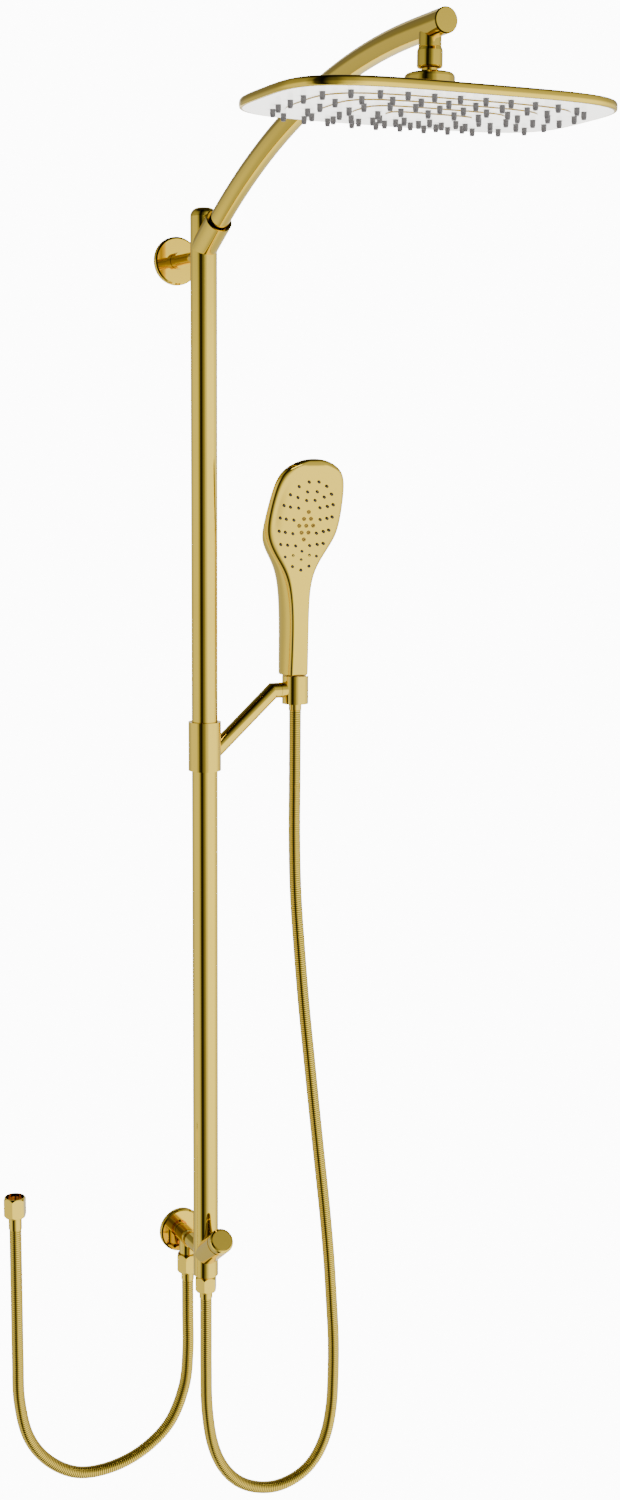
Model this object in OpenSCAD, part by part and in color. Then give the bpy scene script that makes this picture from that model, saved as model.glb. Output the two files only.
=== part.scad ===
// Rainfall shower column: a wall-fixed riser rail with an overhead rain shower on a curved
// arm, a hand shower on a sliding holder, a diverter and two flexible metal hoses.
// Millimetres, +Z up, +Y into the wall, origin at the middle of the lower wall flange's back.

/* [Rail] */
// Outer diameter of the riser rail
rail_d = 28; // [26:0.5:30]
// Distance from the wall to the rail's axis
standoff = 77; // [70:1:90]
// Height of the upper wall flange above the lower one
flange_gap = 1095; // [900:5:1200]
// Wall thickness of the rail tube
rail_wall = 1.2; // [1:0.1:1.6]

/* [Wall flanges] */
// Diameter of a wall flange
flange_d = 51; // [48:1:60]
// Thickness of a wall flange
flange_t = 6; // [5:0.5:8]
// Distance between the two wall screw holes of a fixing plate
screw_gap = 30; // [26:1:32]

/* [Shower arm] */
// Diameter of the curved arm tube
arm_d = 21; // [20:0.5:22]
// Bend radius of the arm's centreline
arm_bend = 800; // [700:10:900]
// Angle at which the arm leaves the rail, above horizontal
arm_rise = 31; // [28:1:34]
// Distance from the wall to the overhead shower's axis
arm_reach = 546.5; // [535:0.5:560]

/* [Overhead shower] */
// Half of the shower head's width
head_a = 151.5; // [120:0.5:160]
// Half of the shower head's depth
head_b = 86.5; // [70:0.5:100]
// Height of the head's edge band
head_rim = 8; // [6:0.5:12]
// Radius of the ball that the head turns on
ball_r = 10; // [9:0.5:10]

/* [Slider and holder] */
// Height of the slider's lower end
slider_z = 553; // [300:1:800]
// Length of the slider's sleeve
sleeve_h = 53; // [48:1:60]
// Outer diameter of the slider's sleeve
sleeve_d = 35.4; // [35:0.2:38]
// Distance from the rail to the hand shower's axis
holder_x = 108; // [100:1:115]
// Height of the holder's conical seat above the slider's lower end
holder_up = 67; // [62:1:72]
// Outer diameter of the holder's ring
ring_d = 29; // [29:0.5:32]

/* [Hoses] */
// Outer diameter of the metal hoses
hose_d = 13.5; // [12:0.5:14]
// Distance from the wall to the water inlet's axis
inlet_y = 23; // [21:1:26]

/* [Hidden] */
$fn = 64;

gold = [0.84, 0.74, 0.42];
brass = [0.78, 0.62, 0.33];
black = [0.12, 0.12, 0.12];
grey = [0.42, 0.41, 0.43];
white = [0.9, 0.9, 0.88];

rail_r = rail_d / 2;
bore_r = rail_r - rail_wall;
boss_d = 17;
neck_d = 12;
plate_t = 3.5;
clear = 0.3;
run = 0.05;

// A piece whose own +Z leaves the wall, at wall distance s and height z
module from_wall(s, z) {
  translate([0, -s, z]) rotate([90, 0, 0]) children();
}

// A ring or tube from z = 0 to h
module pipe(ro, ri, h) {
  difference() {
    cylinder(r = ro, h = h);
    translate([0, 0, -1]) cylinder(r = ri, h = h + 2);
  }
}

// A torus seal lying in the XY plane
module seal(r, thick) {
  rotate_extrude() translate([r, 0]) circle(d = thick, $fn = 24);
}

// A hexagonal nut with turned, chamfered ends, from z = 0 to h
module hex_nut(across_flats, h, bore) {
  corner_r = across_flats / sqrt(3);
  flat_r = across_flats / 2 - 0.2;
  difference() {
    intersection() {
      cylinder(r = corner_r, h = h, $fn = 6);
      rotate_extrude() polygon([
        [0, 0], [flat_r, 0], [corner_r, 2.6], [corner_r, h - 2.6], [flat_r, h], [0, h]
      ]);
    }
    translate([0, 0, -1]) cylinder(r = bore, h = h + 2);
  }
}

// ---- Wall fixings ----

flange_bore = boss_d + 0.6;
cup_depth = 4;

spigot_d = 11.6;
spigot_s = 14.5;

// The steel plate that two wall screws hold, with a spigot for the stand-off
module wall_plate(z) {
  from_wall(0, z) difference() {
    union() {
      cylinder(d = 42, h = plate_t);
      cylinder(d = spigot_d, h = spigot_s);
    }
    for (side = [-1, 1]) {
      translate([side * screw_gap / 2, 0, -1]) cylinder(d = 5, h = plate_t + 2);
    }
  }
}

// The polished cover disc: a shallow cup with a bevelled edge
module flange_cover(z) {
  r = flange_d / 2;
  from_wall(0, z) rotate_extrude($fn = 96) polygon([
    [flange_bore / 2, flange_t], [r - 2.2, flange_t], [r - 0.6, flange_t - 1.2],
    [r, flange_t - 2.4], [r, 0], [r - 2.5, 0], [r - 2.5, cup_depth],
    [flange_bore / 2, cup_depth]
  ]);
}

module upper_wall_plate() {
  color(grey) wall_plate(flange_gap);
}

module upper_flange() {
  color(gold) flange_cover(flange_gap);
}

// Cuts the rail's own shape out of a piece that is brazed against it
module against_rail() {
  difference() {
    children();
    translate([0, -standoff, -100]) cylinder(r = rail_r, h = 1400);
  }
}

grub_s = 12;
grub_d = 4;

// The blind bore for a plate's spigot and the threaded hole for its grub screw
module boss_holes(z) {
  from_wall(plate_t - 1, z) cylinder(d = spigot_d + 0.4, h = spigot_s + 0.3 - plate_t + 1);
  translate([0, -grub_s, z + 2]) cylinder(d = grub_d, h = 10);
}

// Boss, then a slimmer neck that is brazed to the rail
module upper_standoff() {
  color(gold) difference() {
    against_rail() {
      from_wall(plate_t, flange_gap) cylinder(d = boss_d, h = 17 - plate_t);
      from_wall(16, flange_gap) cylinder(d = neck_d, h = standoff - 16);
    }
    boss_holes(flange_gap);
  }
}

module lower_wall_plate() {
  color(grey) wall_plate(0);
}

module lower_flange() {
  color(gold) flange_cover(0);
}

port_d = 19.4;
port_foot = -19;
nipple_foot = -34.5;
nipple_r = 9;

// The lower stand-off carries the water: a level barrel with the inlet port below it
module inlet_elbow() {
  color(gold) difference() {
    against_rail() {
      from_wall(plate_t, 0) cylinder(d = boss_d, h = 12);
      from_wall(inlet_y - 10, 0) cylinder(d = 20, h = 20);
      from_wall(inlet_y + 8, 0) cylinder(d = boss_d, h = standoff - inlet_y - 8);
      translate([0, -inlet_y, port_foot]) cylinder(d = port_d, h = -port_foot);
      translate([0, -inlet_y, nipple_foot]) cylinder(r = nipple_r, h = port_foot - nipple_foot + 1);
    }
    translate([0, -inlet_y, nipple_foot - 1]) cylinder(d = 12, h = 3 - nipple_foot);
    from_wall(inlet_y, 0) cylinder(d = 11, h = standoff);
    boss_holes(0);
  }
}

// Two grub screws, one in each stand-off
module standoff_grub_screws() {
  color(black) for (z = [0, flange_gap]) {
    translate([0, -grub_s, z + spigot_d / 2 + 0.1]) difference() {
      cylinder(d = grub_d - 0.1, h = 2.4);
      translate([0, 0, 1.3]) cylinder(d = 2.2, h = 3, $fn = 6);
    }
  }
}

// ---- Rail ----

rail_top = 1143;
rail_foot = 26;
cap_r = 9;
socket_z = 1102;
socket_len = 47;
socket_d = 27.6;

// A piece whose own +Z runs up the arm's socket from the rail's axis
module on_socket() {
  translate([0, -standoff, socket_z]) rotate([90 - arm_rise, 0, 0]) children();
}

module rail_tube() {
  color(gold) difference() {
    translate([0, -standoff, rail_foot]) cylinder(r = rail_r, h = rail_top - 12 - rail_foot);
    translate([0, -standoff, rail_foot - 1]) cylinder(r = bore_r, h = rail_top);
    on_socket() cylinder(d = arm_d + 1, h = 40);
  }
}

// The rounded plug that closes the rail's top
module rail_top_cap() {
  z0 = rail_top - 12;
  color(gold) translate([0, -standoff, 0]) {
    rotate_extrude($fn = 96) polygon(concat(
      [[0, z0], [rail_r, z0]],
      [for (a = [0:9:90]) [rail_r - cap_r + cap_r * cos(a), rail_top - cap_r + cap_r * sin(a)]],
      [[0, rail_top]]
    ));
    translate([0, 0, z0 - 8]) cylinder(r = bore_r, h = 8);
  }
}

oring_at = [30, 35.5];

// The branch that the arm plugs into, with a wide mouth round the slimmer arm
module arm_socket() {
  color(gold) difference() {
    against_rail() on_socket() cylinder(d = socket_d, h = socket_len);
    on_socket() cylinder(r = arm_d / 2 + 0.2, h = socket_len + 1);
    on_socket() translate([0, 0, socket_len - 6]) cylinder(d = 25, h = 7);
    for (s = oring_at) {
      on_socket() translate([0, 0, s]) cylinder(r = arm_d / 2 + 0.9, h = 2);
    }
    on_socket() translate([0, 0, 24]) rotate([0, 90, 0]) cylinder(d = grub_d, h = 20);
  }
}

module socket_grub_screw() {
  color(black) on_socket() translate([arm_d / 2 + 0.1, 0, 24]) rotate([0, 90, 0]) {
    cylinder(d = grub_d - 0.1, h = 2.8);
  }
}

// ---- Arm ----

arm_straight = 40;
arm_plugged = 22;
arm_wall = 1.5;
bend_y = -standoff - arm_straight * cos(arm_rise) - arm_bend * sin(arm_rise);
bend_z = socket_z + arm_straight * sin(arm_rise) - arm_bend * cos(arm_rise);
arm_z = bend_z + arm_bend;
arm_tip = 573;
bend_turn = arm_rise + arm_plugged / arm_bend * 180 / PI;

// One long gentle bend, from inside the socket to the level tee
module shower_arm() {
  color(gold) translate([0, bend_y, bend_z]) rotate([90, 0, 90]) rotate([0, 0, 90 - bend_turn]) {
    rotate_extrude(angle = bend_turn) translate([arm_bend, 0]) difference() {
      circle(d = arm_d);
      circle(d = arm_d - 2 * arm_wall);
    }
  }
}

// Two rubber rings that seal the arm's foot in its socket
module arm_o_rings() {
  color(black) for (s = oring_at) {
    on_socket() translate([0, 0, s + 0.1]) pipe(arm_d / 2 + 0.85, arm_d / 2 + 0.15, 1.8);
  }
}

outlet_d = 18.6;
outlet_z = 1220.5;

// The level end of the arm, with the outlet that the ball joint screws on
module arm_tee() {
  color(gold) difference() {
    union() {
      from_wall(-bend_y, arm_z) cylinder(d = arm_d, h = arm_tip - 4 + bend_y);
      translate([0, -arm_reach, outlet_z]) cylinder(d = outlet_d, h = arm_z - outlet_z);
      translate([0, -arm_reach, outlet_z - 6]) cylinder(d = 15, h = 7);
    }
    from_wall(-bend_y - 1, arm_z) cylinder(r = arm_d / 2 - arm_wall, h = 100);
    translate([0, -arm_reach, outlet_z - 7]) cylinder(d = 10, h = 20);
  }
}

// The flat end disc of the arm, with a bevelled edge
module arm_end_cap() {
  r = arm_d / 2;
  color(gold) from_wall(arm_tip - 4, arm_z) {
    rotate_extrude() polygon([[0, 0], [r, 0], [r, 3], [r - 1, 4], [0, 4]]);
    translate([0, 0, -5]) cylinder(r = r - arm_wall - 0.05, h = 5);
  }
}

// ---- Ball joint ----

ball_z = 1189;
nut_foot = 1203.5;
neck_r = 6.5;
seat_r = ball_r + clear;
seat_t = 1.6;
collar_r = 20.7;
collar_top = 1200;
collar_foot = 1184;

// A piece of a spherical seat round the ball, between two heights above its centre
module ball_zone(low, high) {
  intersection() {
    difference() {
      sphere(r = seat_r + seat_t);
      sphere(r = seat_r);
    }
    translate([0, 0, low]) cylinder(r = 30, h = high - low);
  }
}

// The upper nut, its neck and the ball, drilled through
module ball_nut() {
  color(gold) translate([0, -arm_reach, 0]) difference() {
    union() {
      rotate_extrude() polygon([
        [0, nut_foot], [neck_r + 1, nut_foot], [10, nut_foot + 1], [10.5, nut_foot + 2],
        [10.5, outlet_z - 3], [9.6, outlet_z - 0.5], [0, outlet_z - 0.5]
      ]);
      translate([0, 0, ball_z]) cylinder(r = neck_r, h = nut_foot - ball_z + 1);
      translate([0, 0, ball_z]) sphere(r = ball_r);
    }
    translate([0, 0, ball_z - 20]) cylinder(r = 4, h = 40);
    translate([0, 0, outlet_z - 9]) cylinder(r = 7.6, h = 20);
  }
}

// The rubber washer with its gauze, between the nut and the arm's outlet
module filter_washer() {
  color(black) translate([0, -arm_reach, outlet_z - 9]) pipe(7.4, 4, 3);
}

module ball_upper_seat() {
  color(white) translate([0, -arm_reach, ball_z]) ball_zone(2.6, 6.8);
}

module ball_lower_seal() {
  color(black) translate([0, -arm_reach, ball_z]) ball_zone(-6.4, -1.6);
}

cavity_r = seat_r + seat_t + clear;

// The visible collar that screws down over the ball
module ball_collar() {
  color(gold) translate([0, -arm_reach, 0]) difference() {
    rotate_extrude($fn = 96) polygon([
      [0, collar_foot], [collar_r, collar_foot], [collar_r, collar_top - 3.6],
      [collar_r - 0.5, collar_top - 1.8], [collar_r - 1.8, collar_top - 0.5],
      [collar_r - 3.6, collar_top], [0, collar_top]
    ]);
    translate([0, 0, ball_z]) sphere(r = cavity_r);
    translate([0, 0, collar_foot - 1]) cylinder(r = cavity_r, h = ball_z - collar_foot + 1);
    translate([0, 0, ball_z]) cylinder(r = 9.6, h = 20);
    translate([0, 0, collar_foot - 1]) cylinder(r = 16.1, h = 5.1);
  }
}

// The cup that holds the lower seal and feeds the head
module ball_cup() {
  color(brass) translate([0, -arm_reach, 0]) difference() {
    union() {
      translate([0, 0, collar_foot]) cylinder(r = 16, h = 4);
      translate([0, 0, 1176]) cylinder(r = 13.9, h = 8.5);
    }
    translate([0, 0, ball_z]) sphere(r = cavity_r);
    translate([0, 0, 1170]) cylinder(r = 8, h = 30);
  }
}

// ---- Overhead shower head ----

rim_foot = 1171;
power = 4;
outline_n = 96;

// One point of a rounded rectangle with half sizes a and b
function round_point(a, b, t) =
  let (r = pow(pow(abs(cos(t)), power) + pow(abs(sin(t)), power), -1 / power))
  [a * r * cos(t), b * r * sin(t)];
function head_outline(a, b) = [
  for (i = [0:outline_n - 1]) round_point(a, b, 360 * i / outline_n)
];

// A closed skin through rings of points, each counter-clockwise about the way ahead
function skin_faces(rings, n) = concat(
  [[for (i = [0:n - 1]) i]],
  [for (k = [0:rings - 2]) for (i = [0:n - 1]) [
    k * n + i, (k + 1) * n + i, (k + 1) * n + (i + 1) % n
  ]],
  [for (k = [0:rings - 2]) for (i = [0:n - 1]) [
    k * n + i, (k + 1) * n + (i + 1) % n, k * n + (i + 1) % n
  ]],
  [[for (i = [0:n - 1]) rings * n - 1 - i]]
);

module skin(rings) {
  n = len(rings[0]);
  polyhedron(points = [for (r = rings) for (p = r) p], faces = skin_faces(len(rings), n));
}

// Crown of the head: how far in from the edge, and how high above its foot
crown = [[0, 0], [0, 6.6], [1.4, 7.8], [14, 9.4], [40, 11.8], [62, 13]];

module crown_solid(inset, drop) {
  skin([
    for (c = crown) [
      for (p = head_outline(head_a - inset - c[0], head_b - inset - c[0])) [
        p[0], p[1], c[1] - drop
      ]
    ]
  ]);
}

module head_top_shell() {
  color(gold) translate([0, -arm_reach, rim_foot]) difference() {
    crown_solid(0, 0);
    crown_solid(2.2, 1.6);
    translate([0, 0, 1]) cylinder(r = 14.1, h = 20);
  }
}

plate_top = rim_foot + 2;
step_h = 1.2;
step_x = 26;
step_y = 16.7;
ring_a = 125;
ring_b = 70;
nozzle_pitch = 24;
nozzle_len = 6.2;
jet_r = 2.3;
plate_a = head_a - 2.4;
plate_b = head_b - 2.4;

// Terrace k of the spray plate, counted from the outside, lies this deep
function terrace_z(k) = rim_foot - k * step_h;

// Nozzle ring k: points evenly spread along its rounded rectangle
function ring_size(k) = [ring_a - k * step_x, ring_b - k * step_y];
function walk(a, b, t0, t1) = norm(round_point(a, b, t1) - round_point(a, b, t0));
function lengths(a, b, i = 0, sum = 0) =
  i > 180 ? [] : concat([sum], lengths(a, b, i + 1, sum + walk(a, b, 2 * i, 2 * i + 2)));
function ring_count(k) =
  let (s = ring_size(k)) 2 + 4 * round((lengths(s[0], s[1])[180] / nozzle_pitch - 2) / 4);
function ring_points(k) =
  let (s = ring_size(k), n = ring_count(k), l = lengths(s[0], s[1]), total = l[180])
  [for (j = [0:n - 1]) let (want = j * total / n, i = len([for (x = l) if (x <= want) x]) - 1)
    round_point(s[0], s[1], 2 * i + 2 * (want - l[i]) / (l[i + 1] - l[i]))];

module head_spray_plate() {
  color(white) translate([0, -arm_reach, 0]) difference() {
    union() {
      translate([0, 0, rim_foot]) linear_extrude(2) polygon(head_outline(plate_a, plate_b));
      for (k = [1:4]) {
        translate([0, 0, terrace_z(k)]) linear_extrude(step_h + 0.1) {
          polygon(head_outline(ring_a + 17 - k * step_x, ring_b + 7.2 - k * step_y));
        }
      }
    }
    for (k = [0:3]) {
      for (p = ring_points(k)) {
        translate([p[0], p[1], terrace_z(k) - 1]) cylinder(r = jet_r + 0.1, h = 9, $fn = 24);
      }
    }
  }
}

// One silicone mat whose nozzles reach through the spray plate
module head_nozzle_mat() {
  color(grey) translate([0, -arm_reach, 0]) {
    translate([0, 0, plate_top]) linear_extrude(1.2) {
      polygon(head_outline(ring_a + 8, ring_b + 6));
    }
    for (k = [0:3]) {
      for (p = ring_points(k)) {
        translate([p[0], p[1], terrace_z(k) - nozzle_len]) {
          cylinder(r1 = jet_r - 0.5, r2 = jet_r, h = 2, $fn = 24);
          translate([0, 0, 2]) cylinder(r = jet_r, h = nozzle_len + k * step_h + 0.2, $fn = 24);
        }
      }
    }
  }
}

// ---- Slider ----

lip = 2;
bush_or = sleeve_d / 2 - 1.4;
bush_h = sleeve_h - 2 * lip - 2 * clear;
groove_at = [9, bush_h - 11];

// The plastic bush that slides on the rail
module slider_bush() {
  color(white) translate([0, -standoff, slider_z + lip + clear]) {
    difference() {
      pipe(bush_or - run, rail_r + run, bush_h);
      for (z = groove_at) {
        translate([0, 0, z]) cylinder(r = rail_r + 1.6, h = 2);
      }
    }
  }
}

// Two rubber rings in the bush's grooves, which grip the rail
module bush_o_rings() {
  color(black) for (z = groove_at) {
    translate([0, -standoff, slider_z + lip + clear + z + 0.1]) pipe(rail_r + 1.5, rail_r + run, 1.8);
  }
}

// The sleeve that turns round the bush
module slider_sleeve() {
  color(gold) translate([0, -standoff, 0]) difference() {
    translate([0, 0, slider_z + lip]) cylinder(d = sleeve_d, h = sleeve_h - lip);
    translate([0, 0, slider_z]) cylinder(r = bush_or, h = sleeve_h - lip);
    translate([0, 0, slider_z]) cylinder(r = rail_r + clear, h = sleeve_h + 1);
  }
}

// The ring that closes the sleeve's foot and keeps the bush in
module sleeve_end_ring() {
  color(gold) translate([0, -standoff, slider_z]) pipe(sleeve_d / 2, rail_r + clear, lip);
}

sarm_d = 17;
elbow_x = 81;
elbow_z = slider_z + holder_up + 15.5;
sarm_rise = 42;
pivot_x = 89;

// A piece whose own +Z runs along +X at the height of the holder's pivot
module on_pivot(x) {
  translate([x, -standoff, elbow_z]) rotate([0, 90, 0]) children();
}

// The half of space beyond the arm's mitre: ahead of it, or behind it
module beyond_mitre(way) {
  translate([elbow_x, -standoff, elbow_z]) rotate([0, -sarm_rise / 2, 0]) {
    translate([way > 0 ? 0 : -200, -50, -100]) cube([200, 100, 200]);
  }
}

// The mitred arm between the sleeve and the holder
module slider_arm() {
  color(gold) difference() {
    union() {
      intersection() {
        translate([elbow_x, -standoff, elbow_z]) rotate([0, -90 - sarm_rise, 0]) {
          translate([0, 0, -20]) cylinder(d = sarm_d, h = 20 + elbow_x / cos(sarm_rise));
        }
        beyond_mitre(-1);
      }
      intersection() {
        on_pivot(elbow_x - 20) cylinder(d = sarm_d - 0.2, h = pivot_x - clear - elbow_x + 20);
        beyond_mitre(1);
      }
    }
    translate([0, -standoff, slider_z - 50]) cylinder(d = sleeve_d, h = 200);
    translate([-50, -standoff - 50, slider_z - 100]) cube([50, 100, 200]);
    on_pivot(pivot_x - 14) cylinder(r = 4 + run, h = 20);
    on_pivot(pivot_x - clear - 1.4) cylinder(r = 6.2, h = 3);
  }
}

// The spring washer that gives the holder's tilt its grip
module tilt_washer() {
  color(black) on_pivot(pivot_x - clear - 1.3) pipe(6, 4 + run, 1.1);
}

// The pin that the holder turns on
module tilt_pin() {
  color(brass) on_pivot(pivot_x - 13) cylinder(r = 4, h = 18);
}

// ---- Holder ----

ring_foot = slider_z + holder_up;
ring_top = ring_foot + 30.7;
nut_top_r = 12.2;
nut_low_r = 10;
liner_t = 0.8;
slot_w = 14.6;

// A piece whose own Z axis is the hand shower's axis
module on_holder() {
  translate([holder_x, -standoff, 0]) children();
}

// The seat's cone grown by g, running past both ends of the ring
module seat_cone(g) {
  slope = (nut_top_r - nut_low_r) / (ring_top - ring_foot);
  translate([0, 0, ring_foot - 1]) {
    cylinder(r1 = nut_low_r + g - slope, r2 = nut_top_r + g + slope, h = ring_top - ring_foot + 2);
  }
}

module slot_cut() {
  translate([0, -slot_w / 2, ring_foot - 1]) cube([30, slot_w, 40]);
}

// The open ring that the hand shower hangs in, with the boss it tilts on
module holder_ring() {
  color(gold) difference() {
    union() {
      on_holder() translate([0, 0, ring_foot]) cylinder(d = ring_d, h = ring_top - ring_foot);
      on_pivot(pivot_x) cylinder(d = sarm_d, h = 10);
    }
    on_holder() seat_cone(clear + liner_t);
    on_holder() slot_cut();
    on_pivot(pivot_x - 1) cylinder(r = 4.03, h = 6.1);
  }
}

// The plastic liner of the seat
module holder_liner() {
  color(black) on_holder() difference() {
    intersection() {
      seat_cone(clear + liner_t);
      translate([0, 0, ring_foot + 0.5]) cylinder(r = 20, h = ring_top - ring_foot - 1);
    }
    seat_cone(clear);
    slot_cut();
  }
}

// ---- Hand shower ----

hand_foot = ring_top + 0.5;
spigot_r = 8.4;
face_tilt = 21.5;
face_y = -25.5;
face_z = hand_foot + 163.7;
hand_wall = 2.4;

// Sections of the handle, from its foot up. Each is a plane through a point on the front:
// [front y, front z, lean, half width, depth to widest, whole depth]
handle = [
  [-9.5, 0, 0, 13.4, 17, 34], [-11, 2.5, 0, 14.6, 18.5, 37], [-12.6, 30, 0, 14.2, 20, 40],
  [-13.9, 61, 0, 14, 21, 42], [-13.2, 84, 3, 15.2, 20.5, 41], [-12.7, 100, 8, 18, 20, 40],
  [-12.4, 113, 13.5, 23, 19.2, 38.8], [-12.6, 124, 18, 30.5, 18.2, 37]
];
// Sections across the head, square to the spray face:
// [height up the face, front set back, half width, depth to widest, whole depth]
head_rows = [
  [-30, 0, 38.5, 16.5, 34], [-18, 0, 43.2, 14, 31], [-5, 0, 44.5, 11.6, 28.5],
  [10, 0, 44.2, 10.6, 26.5], [28, 0, 43, 10, 24.5], [44, 0, 41, 9.6, 22],
  [55, 0.4, 37.3, 9, 19.4], [62, 1.2, 31.5, 8, 16.6], [67.5, 3, 23.5, 6.2, 12.6],
  [71, 5.4, 14.5, 3.8, 7.8], [72.6, 7.6, 6, 1.6, 3.4]
];
stations = concat(handle, [
  for (r = head_rows) [
    face_y - r[0] * sin(face_tilt) + r[1] * cos(face_tilt),
    face_z - hand_foot + r[0] * cos(face_tilt) + r[1] * sin(face_tilt),
    face_tilt, r[2], r[3], r[4]
  ]
]);

hand_n = 40;

// One ring of the hand shower's skin, drawn in by g all round
function hand_ring(s, g) = [
  for (i = [0:hand_n - 1])
    let (
      a = 360 * i / hand_n,
      x = max(s[3] - g, 1) * cos(a),
      half = sin(a) > 0 ? s[5] - s[4] : s[4],
      t = s[4] + max(half - g, 0.5) * sin(a)
    )
    [x, s[0] + t * cos(s[2]), s[1] + t * sin(s[2])]
];

module hand_solid(g, first, last) {
  on_holder() translate([0, 0, hand_foot]) {
    skin([for (k = [first:last]) hand_ring(stations[k], g)]);
  }
}

// A piece whose own +Z points out of the spray face, at the middle of the face
module on_face() {
  on_holder() translate([0, face_y, face_z]) rotate([90 + face_tilt, 0, 0]) children();
}

// Half width of the front panel at heights above the handle's foot
panel = [
  [4, 7.2], [30, 7], [60, 7.2], [80, 7.8], [94, 8.8], [107, 10], [119, 14.5], [127, 20.5],
  [133, 25.5], [142, 31.5], [154, 35.5], [166, 37.4], [182, 37.4], [201, 33], [212, 26.5],
  [219, 19], [223, 10]
];
panel_t = 1.6;

// The part of space in front of the hand shower's middle that the panel fills
module panel_region(g) {
  intersection() {
    on_holder() translate([0, 20, hand_foot]) rotate([90, 0, 0]) linear_extrude(100) {
      polygon(concat(
        [for (p = panel) [p[1] + g, p[0] + (p[0] > 200 ? g : p[0] < 10 ? -g : 0)]],
        [for (i = [1:len(panel)]) let (p = panel[len(panel) - i]) [
          -p[1] - g, p[0] + (p[0] > 200 ? g : p[0] < 10 ? -g : 0)
        ]]
      ));
    }
    union() {
      on_face() translate([-60, -31, -9]) cube([120, 120, 40]);
      on_holder() translate([-60, -60, hand_foot - 5]) cube([120, 52.5, 141]);
    }
  }
}

button_v = -42;
button_r = 7;

// A piece whose own +Z points out of the back of the neck
module on_back(v, depth) {
  on_face() translate([0, v, -depth]) rotate([180, 0, 0]) children();
}

back_depth = 31.5;

module hand_shell() {
  difference() {
    hand_solid(0, 0, len(stations) - 1);
    hand_solid(hand_wall, 1, len(stations) - 3);
  }
}

module handset_back_shell() {
  color(gold) difference() {
    hand_shell();
    panel_region(0.2);
    on_back(button_v, back_depth - 12) cylinder(r = button_r + clear, h = 20);
    on_holder() translate([0, 0, hand_foot - 1]) cylinder(r = spigot_r + 0.1, h = 6.5);
  }
}

small_r = 1.1;
big_r = 2.2;
rows = [[19, 51], [15, 40], [11, 30.5]];

// Depth of the domed face below its middle, at a distance u to the side
function face_dip(u) = 11 * (1 - sqrt(1 - pow(u / 44.4, 2)));

// Nozzle j of a shield-shaped ring of n nozzles and height h, one of them at its foot
function shield(n, h, j) =
  let (
    t = 180 + 360 * j / n,
    bow = t - 10 * sin(t) * (1 - cos(t)) / 2,
    wide = h * (0.6 - (h > 35 ? 0 : 0.09))
  )
  [wide * sin(bow) * (1 + 0.15 * cos(bow)), h * cos(bow) * (cos(bow) < 0 ? 0.97 : 1)];
small_points = [for (r = rows) for (j = [0:r[0] - 1]) shield(r[0], r[1], j)];
big_points = [
  for (row = [-2:2]) for (i = [0:2 - abs(row)]) [(2 * i - 2 + abs(row)) * 4.1, row * 8]
];

// Height of the shoulder above the face's own plane, at a height v up the face
function shoulder_rise(v) = v < -31 ? 0.06 * pow(-31 - v, 1.5) : 0;

module on_nozzle(p) {
  on_face() translate([p[0], p[1], shoulder_rise(p[1]) - face_dip(p[0])]) children();
}

module handset_face_plate() {
  color(gold) difference() {
    intersection() {
      hand_solid(0, 0, len(stations) - 1);
      panel_region(0);
    }
    hand_solid(panel_t, 0, len(stations) - 1);
    for (p = small_points) {
      on_nozzle(p) translate([0, 0, -7]) cylinder(r = small_r + 0.1, h = 9, $fn = 14);
    }
    for (p = big_points) {
      on_nozzle(p) translate([0, 0, -7]) cylinder(r = big_r + 0.1, h = 9, $fn = 16);
    }
  }
}

module handset_nozzles() {
  color(black) for (p = small_points) {
    on_nozzle(p) translate([0, 0, -3.4]) cylinder(r = small_r, h = 3.9, $fn = 24);
  }
}

// The middle jets, each with a slanting slit
module handset_centre_nozzles() {
  color(gold) for (p = big_points) {
    on_nozzle(p) difference() {
      translate([0, 0, -3.4]) cylinder(r = big_r, h = 3.9, $fn = 24);
      rotate([0, 0, 45]) translate([-3, -0.45, -0.6]) cube([6, 0.9, 3]);
    }
  }
}

pipe_y = 9;

// The inner pipe, a flat duct and the chamber behind the spray face, grown by g
module waterway(g) {
  on_holder() translate([0, pipe_y, hand_foot + 18 - g]) cylinder(r = 7 + g, h = 97);
  on_face() translate([-8 - g, -64, -17 - g]) cube([16 + 2 * g, 64, 5 + 2 * g]);
  on_face() translate([0, 0, -17 - g]) cylinder(r = 30 + g, h = 5 + 2 * g);
}

module handset_waterway() {
  color(white) difference() {
    union() {
      waterway(0);
      on_holder() translate([0, 0, hand_foot + 12]) cylinder(r = 9, h = 6);
      on_holder() translate([0, pipe_y / 2, hand_foot + 17]) cylinder(r = 9, h = 8);
    }
    on_holder() translate([0, pipe_y, hand_foot + 20]) cylinder(r = 5, h = 92);
    on_holder() translate([0, pipe_y / 2, hand_foot + 13]) cylinder(r = 3.6, h = 12);
    on_face() translate([-6.5, -62, -15.7]) cube([13, 50, 2.4]);
    on_face() translate([0, 0, -15.7]) cylinder(r = 28, h = 2.4);
  }
}

inlet_foot = ring_foot + 18.5;

// The threaded spigot in the foot of the handle
module handset_inlet() {
  color(brass) on_holder() difference() {
    union() {
      translate([0, 0, inlet_foot]) cylinder(r = 10.35, h = hand_foot - 0.2 - inlet_foot);
      translate([0, 0, inlet_foot]) cylinder(r = spigot_r, h = hand_foot + 12 - inlet_foot);
    }
    translate([0, 0, inlet_foot - 1]) cylinder(r = 6, h = 40);
  }
}

button_travel = 2.5;

module selector_button() {
  color(gold) on_back(button_v, back_depth - 5) {
    cylinder(r = button_r, h = 6.5);
    translate([0, 0, 6.5]) cylinder(r1 = button_r, r2 = button_r - 1, h = 1);
  }
}

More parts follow.
